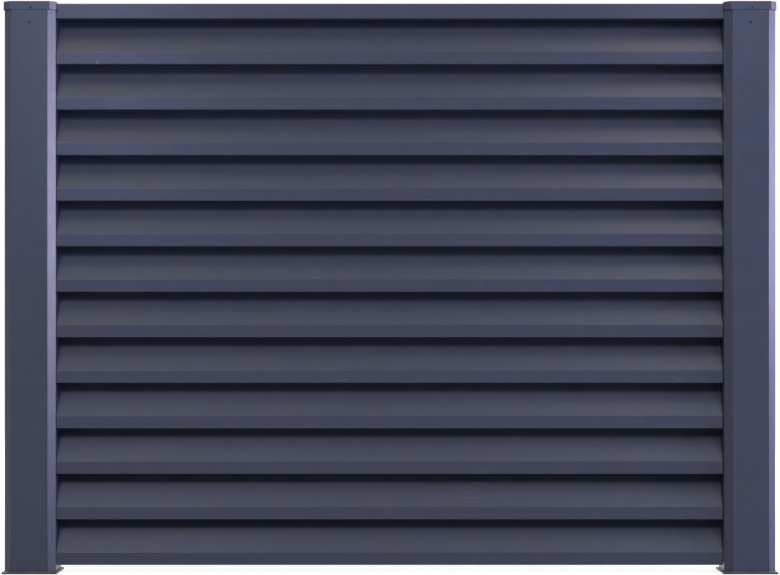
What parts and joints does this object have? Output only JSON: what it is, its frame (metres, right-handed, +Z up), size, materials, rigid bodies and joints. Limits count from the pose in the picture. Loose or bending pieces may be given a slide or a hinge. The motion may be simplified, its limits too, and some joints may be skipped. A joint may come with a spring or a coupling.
{
  "type": "slatted fence panel",
  "caption": "One bay of a louvred sheet-metal fence: overlapping folded slats and a top rail between two capped square posts with cut corners, on base plates.",
  "frame": {"origin": "centre of the left base plate's underside, at ground level", "axes": "+X along the fence from the left post to the right post, -Y towards the street side where the slats' lips show, +Z up"},
  "size_m": [2.04, 0.145, 1.505],
  "materials": {
    "post_coat": "satin",
    "cap_coat": "satin",
    "plate_coat": "satin",
    "rail_coat": "satin",
    "slat_coat": "satin"
  },
  "bodies": {
    "root": {"post_left": "post_coat", "post_right": "post_coat", "cap_left": "cap_coat", "cap_right": "cap_coat", "base_plate_left": "plate_coat", "base_plate_right": "plate_coat", "top_rail": "rail_coat", "rear_angle_left": "rail_coat", "rear_angle_right": "rail_coat", "slat_01": "slat_coat", "slat_02": "slat_coat", "slat_03": "slat_coat", "slat_04": "slat_coat", "slat_05": "slat_coat", "slat_06": "slat_coat", "slat_07": "slat_coat", "slat_08": "slat_coat", "slat_09": "slat_coat", "slat_10": "slat_coat", "slat_11": "slat_coat", "slat_12": "slat_coat"}
  },
  "joints": []
}
